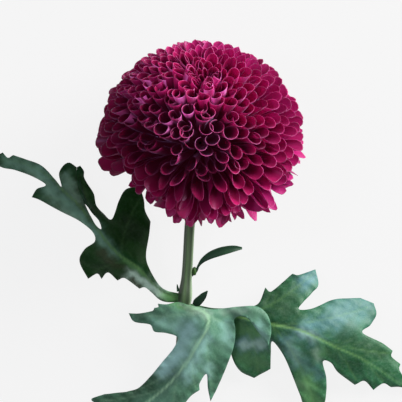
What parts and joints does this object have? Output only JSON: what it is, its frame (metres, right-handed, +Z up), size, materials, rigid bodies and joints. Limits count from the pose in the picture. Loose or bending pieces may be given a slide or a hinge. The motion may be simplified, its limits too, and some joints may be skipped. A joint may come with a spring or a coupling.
{
  "type": "cut pompon chrysanthemum",
  "caption": "Cut pompon chrysanthemum lying on a table: a dome of quilled florets on a ridged stem with lobed leaves.",
  "frame": {"origin": "middle of the bottom of the flower's bounding box, on the surface that it lies on", "axes": "+Z up from the table, +Y from the stem's cut end towards the flower head, +X across the stem towards the right leaf"},
  "size_m": [0.157, 0.1443, 0.0634],
  "materials": {
    "petal": "matte",
    "stalk": "satin",
    "blade": "satin",
    "bract": "matte"
  },
  "bodies": {
    "root": {"axil_bud": "bract", "axil_leaflet": "bract", "bract_whorl_1": "bract", "bract_whorl_2": "bract", "floret_whorl_01": "petal", "floret_whorl_02": "petal", "floret_whorl_03": "petal", "floret_whorl_04": "petal", "floret_whorl_05": "petal", "floret_whorl_06": "petal", "floret_whorl_07": "petal", "floret_whorl_08": "petal", "floret_whorl_09": "petal", "floret_whorl_10": "petal", "floret_whorl_11": "petal", "floret_whorl_12": "petal", "floret_whorl_13": "petal", "floret_whorl_14": "petal", "floret_whorl_15": "petal", "floret_whorl_16": "petal", "floret_whorl_17": "petal", "floret_whorl_18": "petal", "floret_whorl_19": "petal", "floret_whorl_20": "petal", "leaf_front": "blade", "leaf_left": "blade", "leaf_right": "blade", "left_stipule": "bract", "receptacle": "bract", "stem": "stalk", "stem_bract": "bract"}
  },
  "joints": []
}
